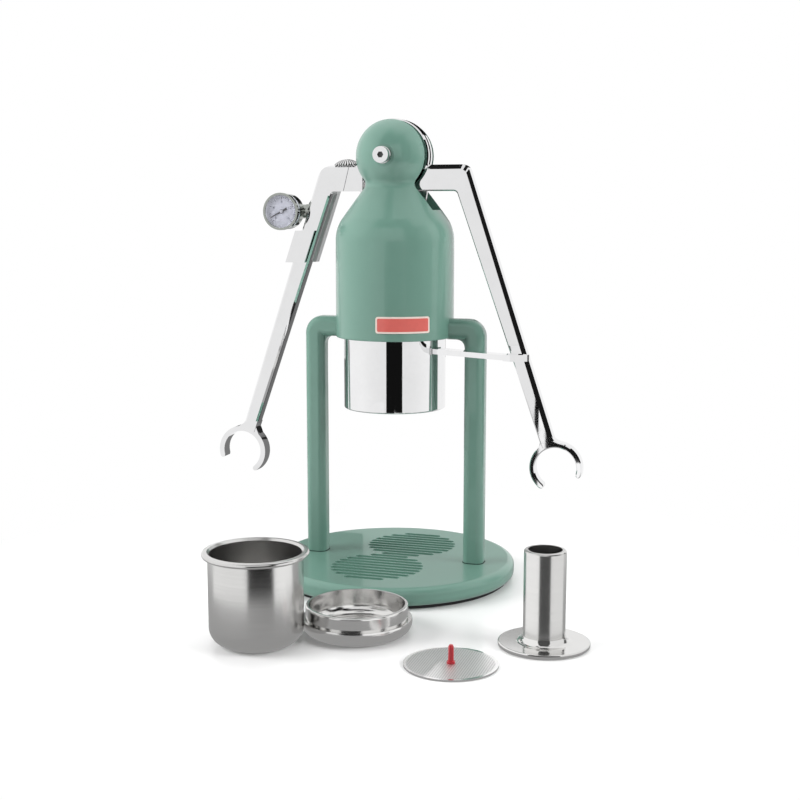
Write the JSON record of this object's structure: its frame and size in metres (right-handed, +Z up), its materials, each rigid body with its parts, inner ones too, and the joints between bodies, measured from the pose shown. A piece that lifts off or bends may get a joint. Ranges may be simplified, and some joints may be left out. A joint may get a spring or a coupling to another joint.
{
  "type": "manual espresso maker",
  "caption": "Hand lever espresso press: two hinged arms with claws drive a piston down through a round holder above a cup stand, with loose basket, spout bowl, screen and tamper.",
  "frame": {"origin": "centre of the foot plate's underside, on the table", "axes": "+Z up, arms along X, front (gauge dial and axle cap) towards -Y"},
  "size_m": [0.2809, 0.2714, 0.3093],
  "materials": {
    "enamel": "gloss",
    "rubber": "matt",
    "chrome": "polished",
    "steel": "satin",
    "bronze": "machined",
    "dial": "matt",
    "glass": "clear",
    "ink": "matt",
    "plug_red": "gloss",
    "seal": "matt"
  },
  "bodies": {
    "frame": {"base_plate": "enamel", "foot_mat": "rubber", "base_screws": "steel", "leg_left": "enamel", "leg_right": "enamel", "body_shell": "enamel", "guide_bush": "bronze", "bayonet_ring": "steel", "axle_bolt": "chrome", "axle_washer_front": "chrome", "axle_washer_rear": "chrome", "axle_nut": "chrome", "hub_spacer": "steel", "cheek_spacers": "steel"},
    "right_arm_body": {"right_arm": "chrome", "right_hub_bush": "bronze", "right_link_pin": "steel"},
    "left_arm_body": {"left_arm_root": "chrome", "left_arm": "chrome", "left_hub_bush": "bronze", "left_link_pin": "steel", "thumb_screw": "steel", "gauge_clamp": "chrome", "clamp_screws": "steel", "pressure_pipe": "chrome", "gauge_stem": "steel", "gauge_case": "chrome", "gauge_bezel": "chrome", "gauge_dial": "dial", "gauge_lens": "glass"},
    "needle": {"gauge_needle": "ink"},
    "right_link_body": {"right_link": "steel", "right_foot_pin": "steel"},
    "left_link_body": {"left_link": "steel", "left_foot_pin": "steel"},
    "piston": {"crosshead": "steel", "piston_rod": "chrome", "piston_head": "steel", "piston_seal": "seal", "piston_nut": "steel"},
    "holder": {"holder_shell": "chrome", "holder_handle": "chrome", "handle_cap": "chrome", "handle_screws": "steel"},
    "basket_body": {"basket": "steel"},
    "spout": {"spout_bowl": "steel"},
    "screen": {"screen_disc": "steel", "screen_plug": "plug_red"},
    "tamper": {"tamper_base": "steel", "tamper_tube": "steel"}
  },
  "joints": [
    {"name": "right_arm_swing", "type": "hinge", "parent": "frame", "child": "right_arm_body", "pos_m": [0, 0, 0.285], "axis": [0, -1, 0], "range_deg": [0, 90]},
    {"name": "left_arm_swing", "type": "hinge", "parent": "frame", "child": "left_arm_body", "pos_m": [0, 0, 0.285], "axis": [0, 1, 0], "range_deg": [0, 90]},
    {"name": "right_link_swing", "type": "hinge", "parent": "right_arm_body", "child": "right_link_body", "pos_m": [0.01945, 0, 0.26486], "axis": [0, 1, 0], "range_deg": [0, 90]},
    {"name": "left_link_swing", "type": "hinge", "parent": "left_arm_body", "child": "left_link_body", "pos_m": [-0.01945, 0, 0.26486], "axis": [0, -1, 0], "range_deg": [0, 90]},
    {"name": "piston_slide", "type": "slide", "parent": "frame", "child": "piston", "axis": [0, 0, 1], "range_m": [0, 0.0407]},
    {"name": "needle_turn", "type": "hinge", "parent": "left_arm_body", "child": "needle", "pos_m": [-0.07511, -0.0138, 0.24895], "axis": [0, 1, 0], "range_deg": [0, 230]},
    {"name": "holder_turn", "type": "hinge", "parent": "frame", "child": "holder", "pos_m": [0, 0, 0.145], "axis": [0, 0, -1], "range_deg": [0, 60]},
    {"name": "basket_lift", "type": "slide", "parent": "frame", "child": "basket_body", "axis": [0, 0, 1], "range_m": [0, 0.1]},
    {"name": "spout_lift", "type": "slide", "parent": "frame", "child": "spout", "axis": [0, 0, 1], "range_m": [0, 0.03]},
    {"name": "screen_lift", "type": "slide", "parent": "frame", "child": "screen", "axis": [0, 0, 1], "range_m": [0, 0.1]},
    {"name": "tamper_lift", "type": "slide", "parent": "frame", "child": "tamper", "axis": [0, 0, 1], "range_m": [0, 0.1]}
  ],
  "couplings": [
    {"joint": "left_arm_swing", "follows": "right_arm_swing", "ratio": 1},
    {"joint": "right_link_swing", "follows": "right_arm_swing", "ratio": 1},
    {"joint": "left_link_swing", "follows": "right_arm_swing", "ratio": 1},
    {"joint": "piston_slide", "follows": "right_arm_swing", "m_per_rad": 0.0259}
  ]
}
